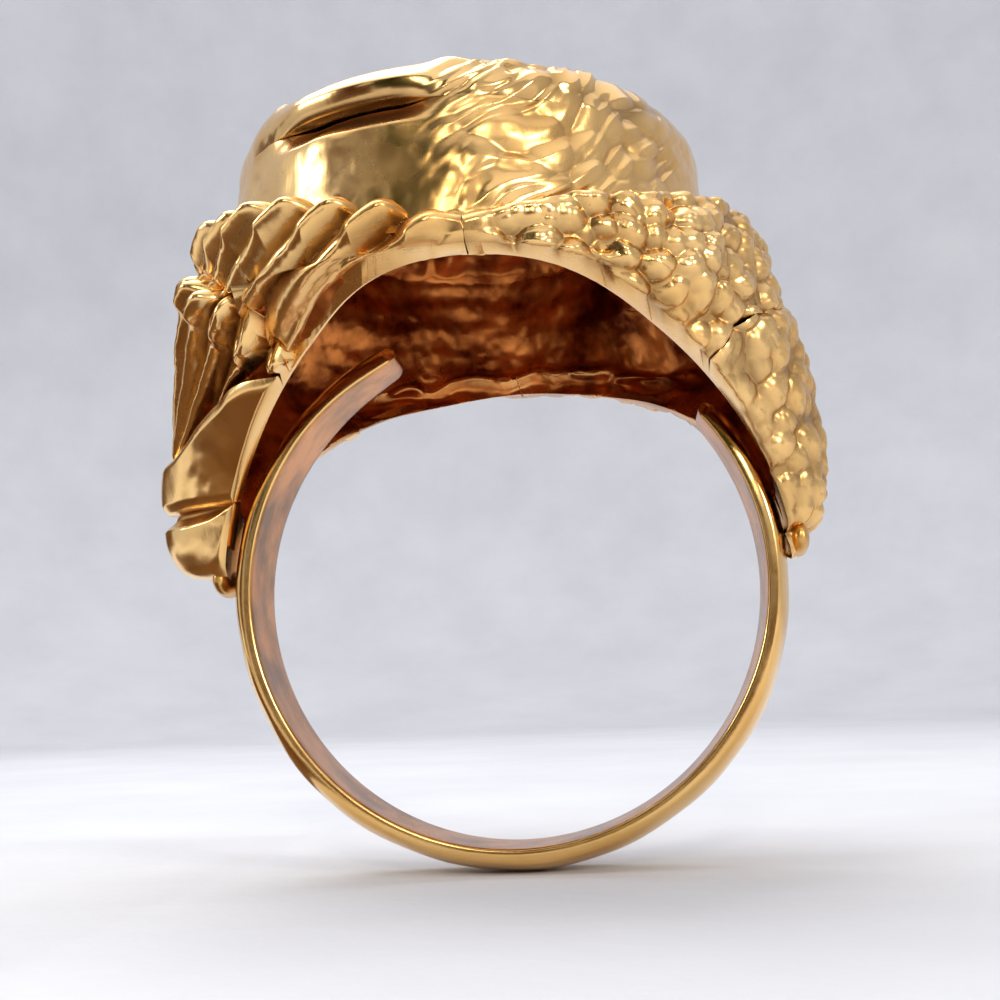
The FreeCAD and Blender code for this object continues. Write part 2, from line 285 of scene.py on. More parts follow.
def slab(name, side, level, relief, cols, rows, phi_range, z_range):
    """Closed piece of the top between the skin and the hollow, where level >= 0."""
    phi = np.linspace(*phi_range, PHI_SAMPLES)
    z = np.linspace(*z_range, Z_SAMPLES)
    pg, zg = np.meshgrid(phi, z, indexing="ij")
    x, y = skin_point(side, pg, zg)
    g = level(x, y, zg)
    alive = (g > 0).any(axis=1)
    first, last = phi[alive][0], phi[alive][-1]
    phi = np.linspace(first + 1e-4, last - 1e-4, cols)
    pg, zg = np.meshgrid(phi, z, indexing="ij")
    x, y = skin_point(side, pg, zg)
    g = level(x, y, zg)
    low, high = np.zeros(cols), np.zeros(cols)
    for i in range(cols):
        inside = np.nonzero(g[i] > 0)[0]
        if len(inside) == 0:
            low[i] = high[i] = low[i - 1]
            continue
        a, b = inside[0], inside[-1]
        low[i] = z[a] if a == 0 else np.interp(0, [g[i, a - 1], g[i, a]], [z[a - 1], z[a]])
        if b == len(z) - 1:
            high[i] = z[b]
        else:
            high[i] = np.interp(0, [g[i, b + 1], g[i, b]], [z[b + 1], z[b]])
    t = np.linspace(0, 1, rows)[:, None]
    zz = low[None, :] + (high - low)[None, :] * t
    pp = np.broadcast_to(phi[None, :], zz.shape)
    x, y = skin_point(side, pp, zz)
    outer = np.stack([x, y, zz], -1)
    xi, yi = hollow_point(pp, zz)
    clamp = cut_x(zz)
    held = np.maximum(xi, clamp) if side > 0 else np.minimum(xi, -clamp)
    xi = np.where(clamp > 0, held, xi)
    inner = np.stack([xi, yi, zz], -1)
    n_out, n_in = grid_normals(outer), grid_normals(inner)
    if (n_out[..., 0] * side).mean() < 0:
        n_out, n_in = -n_out, -n_in
    d_out, dark = relief(outer, t * np.ones_like(zz), high - low)
    middle = ramp(np.abs(x), 0.05, 1.4)
    plain = 0.06 * fractal(x * 0.7, y * 0.7, zz * 0.7, 2, 17)
    plain = plain + round_edges(t, high - low, 0.2, 0.3)
    d_out = d_out * middle + plain * (1 - middle)
    outer = outer + n_out * d_out[..., None]
    free = ((np.abs(xi) > clamp + 0.02) | (clamp == 0))[..., None]
    inner = inner - n_in * inner_relief(inner)[..., None] * free
    verts = np.concatenate([outer.reshape(-1, 3), inner.reshape(-1, 3)])
    count = rows * cols
    faces = [grid_faces(rows, cols), grid_faces(rows, cols, count, flip=True)]
    edge = perimeter(rows, cols)
    faces.append(loop_strip(edge, edge + count, flip=True))
    # Painted shade: the relief's dark share darkens the outer creases; the inner walls get painted
    # red-brown shade, fading out towards the finger cut, stronger on the far side and lighter on
    # the ledge crest.
    crease = np.concatenate([dark.ravel(), np.zeros(count)])
    inner_shade_amount = np.clip(free[..., 0] * ramp(np.abs(xi) - clamp, 0.02, 0.5), 0, 1)
    inner_shade_amount = np.maximum(inner_shade_amount, 0.75 * ramp(yi, 2.0, 5.0))
    inner_shade_amount = inner_shade_amount - 0.45 * inner_shade_amount * ledge_share(np.stack([xi, yi, zz], -1))
    obj = new_mesh(name, verts, np.concatenate(faces), crease,
                   np.concatenate([np.zeros(count), inner_shade_amount.ravel()]))
    fix_normals(obj)
    return obj


def fix_normals(obj):
    """Merge doubled points, turn the faces outwards and mark sharp edges."""
    bm = bmesh.new()
    bm.from_mesh(obj.data)
    bmesh.ops.remove_doubles(bm, verts=bm.verts, dist=1e-7)
    bmesh.ops.dissolve_degenerate(bm, edges=bm.edges, dist=1e-7)
    bmesh.ops.recalc_face_normals(bm, faces=bm.faces)
    bm.to_mesh(obj.data)
    bm.free()
    obj.data.set_sharp_from_angle(angle=SHARP_ANGLE)
    obj.data.update()


# ------------------------------------------------------------------ reliefs

RIB_PITCH = math.pi / 15
RIB_LEAN, RIB_LEAN_Z = 0.15, 8.0


def rib_phase(x, y, z):
    """Rib number at a point on the left shoulder. Ribs lean down and outwards on both sides."""
    left, right = skin_left(z), skin_right(z)
    middle, reach = (right - left) / 2, (right + left) / 2
    angle = np.arctan2(np.abs(y) / skin_half_l(z), (middle - x) / reach)
    return (angle - RIB_LEAN * (z - RIB_LEAN_Z)) / RIB_PITCH


def lobes(v, shift, power=1.05):
    """1 along the middle of each rib, 0 between ribs."""
    return np.abs(np.sin(np.pi * (v + shift))) ** power


def tip_rise(x, y, z, shift):
    """How far each rib's tip stands above the seam, 0 to 1."""
    return lobes(rib_phase(x, y, z), shift, 0.9)


def round_edges(t, span, depth, width):
    """Rounding towards the rims and the seams."""
    length = np.maximum(span, 0.05)
    d_t = np.minimum(t, 1 - t) * length[None, :]
    return -depth * np.clip(1 - d_t / width, 0, 1) ** 2


def ribbed(shift, low_drop, tip_lift, depth):
    """Leaning ribs with rounded tips, with painted shade between them."""

    def relief(p, t, span):
        x, y, z = p[..., 0], p[..., 1], p[..., 2]
        sway = 0.22 * noise(x * 0.45, y * 0.45, z * 0.45, 3)
        v = rib_phase(x, y, z)
        wave = lobes(v + sway * (1 - t), shift)
        number = np.floor(v + shift)
        tall = 0.5 + 0.5 * _hash(number.astype(np.int64), 3, 5, 19)
        fine = 0.035 * fractal(x * 2.0, y * 2.0, z * 2.0, 3, 5)
        edge = cut_level(x, z) / LEVEL_SCALE
        lip = 1 - ramp(edge, 0.03, 0.14)
        d = -depth * (1 - wave) * (1 - 0.8 * lip)
        from_top = (1 - t) * span[None, :]
        bulb = np.exp(-(((from_top - 0.55) / 0.5) ** 2))
        d = d + low_drop * (1 - ramp(t, 0, 0.7)) + tip_lift * bulb * (0.4 + 0.6 * wave) * tall
        d = d + round_edges(t, span, 0.3, 0.35) + fine
        # Painted shade between the ribs, fading out at the finger cut's lip.
        return d, np.clip((1.25 * (1 - wave) - 0.1) * (1 - lip), 0, 1)

    return relief


def smooth_relief(amount, scale=0.7):
    """Gentle waves, with no painted crease shade."""

    def relief(p, t, span):
        x, y, z = p[..., 0], p[..., 1], p[..., 2]
        d = amount * fractal(x * scale, y * scale, z * scale, 3, 17)
        return d + round_edges(t, span, 0.2, 0.35), np.zeros_like(x)

    return relief


# Small deep pits on both sides of the right shoulder: x, reach along y, z
PITS = [(3.9, 8.85, 8.35), (6.0, 7.7, 10.1)]


def notched(p, t, span):
    """Smooth toe with a flat notch along its top and painted shade in the notch."""
    d, dark = smooth_relief(amount=0.05)(p, t, span)
    notch = ramp(t, 0.74, 0.9)
    return d - 0.42 * notch, notch


def pebbled(size=0.86, depth=0.34):
    """Two sizes of pebble on a wavy skin, with a few pits and painted shade between the pebbles.
    """

    def relief(p, t, span):
        x, y, z = p[..., 0], p[..., 1], p[..., 2]
        warp = 0.25 * noise(x * 0.6, y * 0.6, z * 0.6, 31)
        g = bumps(x + warp, y - warp, z + warp, size, 41)
        small = bumps(x, y, z, size * 0.5, 43)
        d = -depth * (1 - g) - 0.06 * (1 - small) + 0.16 * noise(x * 0.55, y * 0.55, z * 0.55, 47)
        d = d - 0.04
        for px, py, pz in PITS:
            near = (x - px) ** 2 + (np.abs(y) - py) ** 2 + (z - pz) ** 2
            d = d - 0.5 * np.exp(-near / 0.09)
        return d + round_edges(t, span, 0.12, 0.25), np.clip((1 - g) * 1.1, 0, 1)

    return relief


def ledge_share(p):
    """1 on the crest of the wavy ledge that runs inside both long sides, fading to 0."""
    x, y, z = p[..., 0], p[..., 1], p[..., 2]
    wavy = 9.25 - 0.035 * x * x + 0.14 * np.sin(2.1 * x) + 0.2 * noise(x * 0.9, y * 0, z * 0, 61)
    crest = np.exp(-(((z - wavy) / 0.24) ** 2)) * ramp(np.abs(y), 4.5, 6.5)
    return np.clip(crest * (0.75 + 0.5 * noise(x * 1.6, y, z, 63)), 0, 1)


def inner_relief(p):
    """Cast inside of the shell: soft ripples and a ledge near the rims."""
    x, y, z = p[..., 0], p[..., 1], p[..., 2]
    bend = 2.2 * noise(x * 0.35, y * 0.35, z * 0.35, 53)
    ripple = 0.035 * np.sin(6.5 * z + bend) * (0.6 + 0.6 * noise(x * 0.4, y * 0.3, z * 0.2, 55))
    lump = 0.12 * fractal(x * 0.8, y * 0.8, z * 0.8, 3, 59)
    ledge = 0.42 * ledge_share(p)
    ring = np.hypot((x - 5.0) / 1.15, (z - 7.9 + 0.35 * (x - 5.0)) / 0.55)
    loop = 0.25 * np.exp(-(((ring - 1.0) / 0.22) ** 2)) - 0.3 * np.exp(-((ring / 0.6) ** 2))
    return ripple + lump + ledge + loop * ramp(y, 1.5, 3.0)


# ------------------------------------------------------------------ the shoulders

HALF_TURN = (0.5 * math.pi - 0.25, 1.5 * math.pi + 0.25)
RIGHT_TURN = (-0.5 * math.pi - 0.25, 0.5 * math.pi + 0.25)


def seam_collar(x, y, z, side):
    """Height of the seam under the crown."""
    reach = np.abs(x)
    rise = COLLAR_SLOPE * reach
    if side < 0:
        lift = 0.4 * tip_rise(x, y, COLLAR_Z + rise, 0.0) - 0.2
    else:
        lift = 0.16 * noise(x * 1.3, y * 1.3, z * 0, 71)
    return COLLAR_Z + 0.15 + rise + lift * ramp(reach, 0.4, 2.0)


def seam_mid(x, y, z):
    """Height of the seam between the upper and middle left tiers."""
    height = MID_SLOPE * np.abs(x)
    return height + 0.5 * tip_rise(x, y, height, 0.5) - 0.2


def seam_low(x, y, z):
    """Height of the seam between the middle and lower left tiers."""
    droop = 0.9 * ramp(np.abs(y), 1.0, 4.2)
    return LOW_Z + LOW_SLOPE * np.abs(x) + droop + 0.1 + 0.15 * noise(y * 1.1, 0 * y, 0 * y, 75)


def seam_toe(x, y, z):
    """Height of the notch above the left toe."""
    return TOE_Z + 0 * z


def seam_right(x, y, z):
    """Height of the step between the two parts of the right shoulder."""
    return RIGHT_SLOPE * np.abs(x) + 0.15 * noise(x * 1.2, y * 1.2, 0 * z, 73)


def between(side, low, high):
    """Above zero on one side, outside the finger cut and between two seams."""

    def level(x, y, z):
        g = np.minimum(OVERLAP + side * x, cut_level(x, z))
        if high:
            g = np.minimum(g, high(x, y, z) - z)
        if low:
            g = np.minimum(g, z - low(x, y, z))
        return g

    return level


pieces = {}
pieces["left_tier_upper"] = slab(
    "left_tier_upper_cast", -1,
    between(-1, seam_mid, lambda x, y, z: seam_collar(x, y, z, -1)),
    ribbed(shift=0.0, low_drop=-0.25, tip_lift=0.38, depth=0.56),
    cols=620, rows=110, phi_range=HALF_TURN, z_range=(4.0, 13.6),
)
pieces["left_tier_middle"] = slab(
    "left_tier_middle_cast", -1, between(-1, seam_low, seam_mid),
    ribbed(shift=0.5, low_drop=-0.25, tip_lift=0.42, depth=0.56),
    cols=420, rows=110, phi_range=HALF_TURN, z_range=(3.0, 12.5),
)
pieces["left_tier_lower"] = slab(
    "left_tier_lower_cast", -1, between(-1, seam_toe, seam_low),
    smooth_relief(amount=0.06), cols=260, rows=60, phi_range=HALF_TURN, z_range=(1.5, 7.6),
)
pieces["left_toe"] = slab(
    "left_toe_cast", -1, between(-1, None, seam_toe),
    notched, cols=200, rows=60, phi_range=HALF_TURN, z_range=(0.46, 3.0),
)


pieces["right_pebbles_upper"] = slab(
    "right_pebbles_upper_cast", 1,
    between(1, seam_right, lambda x, y, z: seam_collar(x, y, z, 1)),
    pebbled(), cols=700, rows=170, phi_range=RIGHT_TURN, z_range=(4.0, 13.6),
)
pieces["right_pebbles_lower"] = slab(
    "right_pebbles_lower_cast", 1, between(1, None, seam_right),
    pebbled(size=0.95, depth=0.28), cols=420, rows=170, phi_range=RIGHT_TURN, z_range=(0.5, 9.5),
)

# ------------------------------------------------------------------ crown wall


def fold(phi):
    """Angle from the right end of the ring, the same on both long sides."""
    return np.arccos(np.clip(np.cos(phi), -1, 1))


def patch(x, z, at, size):
    """Soft oval patch: 1 in its middle, fading to 0."""
    return np.exp(-(((x - at[0]) / size[0]) ** 2) - ((z - at[1]) / size[1]) ** 2)


def crown_point(phi, z, grow=0.0):
    """Point on the outside of the crown, which widens a little downwards."""
    flare = CROWN_FLARE * np.clip((CAP_SEAT - z) / (CAP_SEAT - CROWN_FOOT), 0, 1)
    return oval_point(
        phi, CROWN_X - CROWN_SHIFT + flare + grow, CROWN_X + CROWN_SHIFT + flare + grow,
        CROWN_Y + flare + grow,
    )


def curl_share(phi):
    """1 where the lip curls over a groove, left of the middle on both long sides; 0 elsewhere."""
    turn = fold(phi)
    return ramp(turn, 1.50, 1.72) * (1 - ramp(turn, 2.08, 2.32))


# Patches on the crown, (x, z) and half sizes: a raised lump, and a painted dark reflection on the
# near side
BLOB_AT, BLOB_SIZE = (-4.2, 12.0), (1.1, 0.6)
DARK_REFLECTION_AT, DARK_REFLECTION_SIZE = (-1.3, 12.0), (1.5, 1.7)


def crown_relief(phi, x, y, z):
    """Flowing strands on the right, soft hammering on the left, painted shade between the drops
    and a painted dark reflection on the near side.
    """
    soft = ramp(np.cos(phi), -0.08, 0.26) * ramp(fold(phi), 0.3, 0.75)
    sway = 0.9 * noise(x * 0.35, y * 0.35, z * 0.35, 79)
    along = phi * 9.0 * np.sign(y + 1e-6)
    flow = along * 0.75 + z * 0.9 + sway
    strands = 1 - np.abs(noise(flow * 2.1, z * 0.55 - along * 0.3, 0 * z, 81))
    drops = bumps(flow * 0.9, along * 0.45 - z * 0.5, 0 * z, 0.8, 83)
    d = soft * (0.12 * (strands - 0.75) - 0.16 * (1 - drops) + 0.07)
    blob = patch(x, z, BLOB_AT, BLOB_SIZE)
    d = d + (1 - soft) * (0.10 * fractal(x * 0.45, y * 0.45, z * 0.5, 2, 87) + 0.16 * blob)
    d = d + 0.03 * fractal(x * 1.5, y * 1.5, z * 1.5, 2, 89)
    # Painted dark reflection on the near side, added to the painted shade between the drops.
    reflection_spot = patch(x, z, DARK_REFLECTION_AT, DARK_REFLECTION_SIZE) * ramp(-y, 5.0, 7.0)
    painted_reflection = 1.5 * reflection_spot * ramp(fractal(x * 1.1, y * 1.1, z * 1.1, 3, 101), -0.45, 0.25)
    return d, np.clip(soft * np.clip(1.2 * (1 - drops) - 0.2, 0, 1) + painted_reflection, 0, 1)


def build_crown_wall(cols=900, rows=110):
    """Hollow drum of the crown, closed round its foot and its top edge."""
    phi = np.linspace(0, 2 * math.pi, cols, endpoint=False)
    low = np.full(cols, 9.0)
    for _ in range(30):  # the foot's reach depends on its own height, so it settles in steps
        x = crown_point(phi, low)[0]
        low = COLLAR_Z - 0.2 + COLLAR_SLOPE * np.abs(x) - 0.4 * ramp(np.abs(x), 0.3, 2.5)
    t = np.linspace(0, 1, rows)[:, None]
    zz = low[None, :] + (CAP_SEAT - low)[None, :] * t
    pp = np.broadcast_to(phi[None, :], zz.shape)
    x, y = crown_point(pp, zz)
    outer = np.stack([x, y, zz], -1)
    n = grid_normals(outer, wrap=True)
    d, dark = crown_relief(pp, x, y, zz)
    curl = curl_share(pp)
    d = d - 0.5 * ramp(zz, 12.2, CAP_SEAT) * curl
    # Painted shade in the groove under the curled lip.
    dark = np.clip(dark * 0.7 + ramp(zz, 12.25, 12.8) * curl, 0, 1)
    n = outward(n, n[..., 0] * np.cos(pp))
    outer = outer + n * d[..., None]
    xi, yi = hollow_point(pp, zz)
    inner = np.stack([xi, yi, zz], -1)
    n_in = grid_normals(inner, wrap=True)
    n_in = outward(n_in, n_in[..., 0] * np.cos(pp))
    inner = inner - n_in * (inner_relief(inner) - 0.03)[..., None]
    count = rows * cols
    verts = np.concatenate([outer.reshape(-1, 3), inner.reshape(-1, 3)])
    bottom = np.arange(cols)
    top = (rows - 1) * cols + bottom
    faces = [
        grid_faces(rows, cols, 0, wrap=True),
        grid_faces(rows, cols, count, flip=True, wrap=True),
        loop_strip(bottom, bottom + count, flip=True),
        loop_strip(top, top + count),
    ]
    crease = np.concatenate([np.broadcast_to(dark, zz.shape).ravel(), np.zeros(count)])
    # The whole inner wall gets painted red-brown shade.
    obj = new_mesh("crown_wall_cast", verts, np.concatenate(faces), crease,
                   np.repeat([0.0, 1.0], count))
    fix_normals(obj)
    return obj


pieces["crown_wall"] = build_crown_wall()

# ------------------------------------------------------------------ crown cap


def build_cap(cols=720, ring_rows=36, dome_rows=90):
    """Polished cap: its lip, the dome, and the cast underside."""
    phi = np.linspace(0, 2 * math.pi, cols, endpoint=False)[None, :]
    u = np.linspace(0, 1, ring_rows)[:, None]
    swing = math.pi * (u - 0.5)
    curl = curl_share(phi)
    bead = -0.1 + 0.32 * np.cos(swing) ** 0.8 - 0.95 * np.clip((u - 0.45) / 0.55, 0, 1) ** 1.2
    plain = -0.75 * np.clip(u - 0.25, 0, 1) ** 2.0
    grow = bead * curl + plain * (1 - curl)
    bead_z = CAP_SEAT + 0.02 + (CAP_EDGE - CAP_SEAT) * (0.5 + 0.5 * np.sin(swing))
    plain_z = CAP_SEAT + (CAP_EDGE - CAP_SEAT) * u
    height = bead_z * curl + plain_z * (1 - curl)
    x, y = crown_point(phi, height, grow)
    lip = np.stack([x, y, height], -1)
    w = np.linspace(1, 0, dome_rows + 1)[1:, None]
    rise = (CAP_TOP - CAP_EDGE) * (1 - w**2.2)
    rim = lip[-1][None]
    oval_x, oval_y = crown_point(phi, CAP_EDGE, -0.42 + 0 * phi)
    share = w**7
    reach = (oval_x - CROWN_SHIFT) * (1 - share) + (rim[..., 0] - CROWN_SHIFT) * share
    dome = np.stack([
        CROWN_SHIFT + reach * w,
        (oval_y * (1 - share) + rim[..., 1] * share) * w,
        CAP_EDGE + rise + 0 * phi,
    ], -1)
    top = np.concatenate([lip, dome[:-1]])
    n = grid_normals(top, wrap=True)
    n = outward(n, n[-1, :, 2])
    x, y, z = top[..., 0], top[..., 1], top[..., 2]
    around = phi * np.ones_like(x)
    d, dark = crown_relief(around, x, y, z)
    out = np.hypot((x - CROWN_SHIFT) / CROWN_X, y / CROWN_Y)
    keep = ramp(out, 0.86, 0.96) * (1 - 0.85 * curl_share(around))
    polish = 0.08 * fractal(x * 0.32, y * 0.32, z * 0.3, 2, 91)
    d = d * keep + polish * (1 - keep)
    dark = dark * keep * 0.7
    centre = np.array([[CROWN_SHIFT, 0, CAP_TOP]])
    top = top + n * d[..., None]
    under = []
    for z_in in np.concatenate([np.linspace(CAP_SEAT, HOLLOW_BEND, 16),
                                np.linspace(HOLLOW_BEND + 0.05, HOLLOW_TOP, 20)]):
        xi, yi = hollow_point(phi[0], np.full(cols, z_in))
        under.append(np.stack([xi, yi, np.full(cols, z_in)], -1))
    last = under[-1]
    for s in np.linspace(0.93, 0.08, 14):
        p = last.copy()
        p[:, 0] = (last[:, 0] - CROWN_SHIFT) * s + CROWN_SHIFT
        p[:, 1] = last[:, 1] * s
        p[:, 2] = HOLLOW_TOP + 0.12 * (1 - s)
        under.append(p)
    under = np.array(under)
    xu, yu, zu = under[..., 0], under[..., 1], under[..., 2]
    away = np.hypot(xu - 1.5, (yu - 9.0) * 0.8)
    wave = 0.09 * np.sin(away * 4.2 + 1.5 * noise(xu * 0.4, yu * 0.4, zu * 0, 95))
    wave = wave + 0.16 * fractal(xu * 0.6, yu * 0.6, zu * 0.6, 3, 97)
    n = grid_normals(under, wrap=True)
    n = outward(n, n[0, :, 0] * np.cos(phi[0]))
    shared = (inner_relief(under) - 0.03) * (1 - ramp(zu, 13.2, 14.2))
    under = under - n * shared[..., None]
    under[..., 2] += wave * ramp(zu, CAP_SEAT, 13.6)
    rows_t, rows_u = len(top), len(under)
    verts = np.concatenate([top.reshape(-1, 3), centre, under.reshape(-1, 3),
                            [[CROWN_SHIFT, 0, UNDER_POLE]]])
    count = rows_t * cols
    faces = [tuple(f) for f in grid_faces(rows_t, cols, 0, wrap=True)]
    pole = count
    ring = (rows_t - 1) * cols
    faces += [(ring + i, ring + (i + 1) % cols, pole) for i in range(cols)]
    start = count + 1
    faces += [tuple(f) for f in grid_faces(rows_u, cols, start, flip=True, wrap=True)]
    ring = start + (rows_u - 1) * cols
    pole = start + rows_u * cols
    faces += [(ring + (i + 1) % cols, ring + i, pole) for i in range(cols)]
    a = np.arange(cols)
    faces += [tuple(f) for f in loop_strip(a, a + start, flip=True)]
    # Painted shade in the groove under the curled lip; the underside gets painted red-brown shade.
    dark = np.clip(dark + curl_share(around) * np.exp(-(((z - CAP_SEAT) / 0.22) ** 2)), 0, 1)
    crease = np.concatenate([dark.ravel(), [0], np.zeros(rows_u * cols + 1)])
    obj = new_mesh("crown_cap_polished", verts, faces, crease,
                   np.concatenate([np.zeros(count + 1), np.ones(rows_u * cols + 1)]))
    fix_normals(obj)
    return obj


pieces["crown_cap"] = build_cap()

# ------------------------------------------------------------------ band


def build_band(steps=640):
    """Wire of D section swept round the bore, with a short straight run at each end."""
    half = BAND_WIDTH / 2
    left, right = math.radians(BAND_LEFT), math.radians(BAND_RIGHT)
    # D profile: (radius, y), flat side inside, crowned outside, eased corners
    prof = []
    for y in np.linspace(-half + 0.08, half - 0.08, 14):
        prof.append((BORE, y))
    prof += [(BORE + 0.03, half - 0.02), (BORE + 0.10, half), (BORE + 0.3, half),
             (BORE + 0.38, half - 0.02)]
    rise = BAND_CREST - BAND_EDGE
    radius = (half**2 + rise**2) / (2 * rise)
    for y in np.linspace(half - 0.08, -half + 0.08, 26):
        prof.append((BORE + BAND_CREST - radius + math.sqrt(radius**2 - y * y), y))
    prof += [(BORE + 0.38, -half + 0.02), (BORE + 0.3, -half), (BORE + 0.10, -half),
             (BORE + 0.03, -half + 0.02)]
    prof = np.array(prof)
    first, last = -left - LEFT_RUN / BAND_MIDDLE, right + RIGHT_RUN / BAND_MIDDLE
    stations = np.linspace(first, last, steps)
    rings = []
    for s in stations:
        a = np.clip(s, -left, right)
        over = (s - a) * BAND_MIDDLE
        out = np.array([math.sin(a), 0, -math.cos(a)])
        along = np.array([math.cos(a), 0, math.sin(a)])
        to_end = min(s - first, last - s) * BAND_MIDDLE
        end = 1 - min(1.0, to_end / END_ROUND)
        thin = math.sqrt(max(0.0, 1 - end * end)) * 0.85 + 0.15
        taper = 1 - 0.3 * (1 - min(1.0, to_end / END_TAPER)) ** 1.5
        wob = 0.02 * math.sin(7 * s + 0.6) + 0.012 * math.sin(19 * s)
        r = BAND_MIDDLE + (prof[:, 0] - BAND_MIDDLE) * thin
        r = np.where(prof[:, 0] > BAND_MIDDLE, r + wob, r)
        y = prof[:, 1] * (0.55 + 0.45 * thin) * taper
        p = out[None, :] * r[:, None] + along[None, :] * over
        p[:, 1] = y
        rings.append(p)
    rings = np.array(rings)
    k = len(prof)
    verts = rings.reshape(-1, 3)
    faces = [tuple(f) for f in grid_faces(steps, k, 0, wrap=True)]
    faces.append(tuple(range(k)))
    faces.append(tuple(range((steps - 1) * k, steps * k))[::-1])
    # Painted shade on the band's inner face, the side towards the finger.
    finger_face_shade = np.tile((prof[:, 0] < BORE + 0.02) * 0.8, steps)
    obj = new_mesh("shank_band_wire", verts, faces, np.zeros(len(verts)), finger_face_shade)
    fix_normals(obj)
    return obj


pieces["shank_band"] = build_band()


def build_solder(name, x, z, seed):
    """Bead of solder in the corner between the band and a toe."""
    rows, cols = 40, 56
    u = np.linspace(0, math.pi, rows)[:, None]
    v = np.linspace(0, 2 * math.pi, cols, endpoint=False)[None, :]
    y = -1.15 * np.cos(u) + 0 * v
    r = 0.36 * np.sin(u) ** 0.7
    px, pz = r * np.cos(v), 1.5 * r * np.sin(v)
    bump = 1 + 0.09 * fractal(px * 2 + x, y * 1.3, pz * 2, 3, seed)
    p = np.stack([x + px * bump, y, z + pz * bump], -1)
    verts = p.reshape(-1, 3)
    faces = [tuple(f) for f in grid_faces(rows, cols, 0, wrap=True)]
    # The whole bead gets a little painted shade.
    obj = new_mesh(name, verts, faces, np.full(len(verts), 0.2))
    fix_normals(obj)
    return obj


pieces["solder_left"] = build_solder("solder_left_bead", -9.5, 0.55, 3)
pieces["solder_right"] = build_solder("solder_right_bead", 9.45, 1.1, 5)

# ------------------------------------------------------------------ materials


class Nodes:
    """Short hand for building a node tree."""

    def __init__(self, name):
        self.mat = bpy.data.materials.new(name)
        self.mat.use_nodes = True
        self.tree = self.mat.node_tree
        self.tree.nodes.clear()
        self.out = self.add("ShaderNodeOutputMaterial")

    def add(self, kind, **props):
        node = self.tree.nodes.new(kind)
        for key, value in props.items():
            setattr(node, key, value)
        return node

    def link(self, a, b):
        self.tree.links.new(a, b)

    def noise(self, scale, detail=4.0, rough=0.55, stretch=None):
        coord = self.add("ShaderNodeTexCoord")
        tex = self.add("ShaderNodeTexNoise")
        tex.inputs["Scale"].default_value = scale
        tex.inputs["Detail"].default_value = detail
        tex.inputs["Roughness"].default_value = rough
        if stretch:
            mapping = self.add("ShaderNodeMapping")
            mapping.inputs["Scale"].default_value = stretch
            self.link(coord.outputs["Object"], mapping.inputs["Vector"])
            self.link(mapping.outputs["Vector"], tex.inputs["Vector"])
        else:
            self.link(coord.outputs["Object"], tex.inputs["Vector"])
        return tex.outputs["Fac"]

    def ramp(self, source, stops):
        node = self.add("ShaderNodeValToRGB")
        elements = node.color_ramp.elements
        while len(elements) < len(stops):
            elements.new(0.5)
        for element, (pos, colour) in zip(elements, stops):
            element.position = pos
            element.color = (*colour, 1) if len(colour) == 3 else colour
        self.link(source, node.inputs["Fac"])
        return node.outputs["Color"]

    def mix(self, fac, a, b, blend="MIX"):
        node = self.add("ShaderNodeMix", data_type="RGBA", blend_type=blend)
        for value, key in ((fac, 0), (a, 6), (b, 7)):
            if hasattr(value, "default_value") or hasattr(value, "is_linked"):
                self.link(value, node.inputs[key])
            else:
                node.inputs[key].default_value = value
        return node.outputs[2]

    def math(self, op, a, b):
        node = self.add("ShaderNodeMath", operation=op)
        for value, key in ((a, 0), (b, 1)):
            if isinstance(value, (int, float)):
                node.inputs[key].default_value = value
            else:
                self.link(value, node.inputs[key])
        return node.outputs[0]


def grey(v):
    """Colour with the same value in each channel."""
    return (v, v, v)


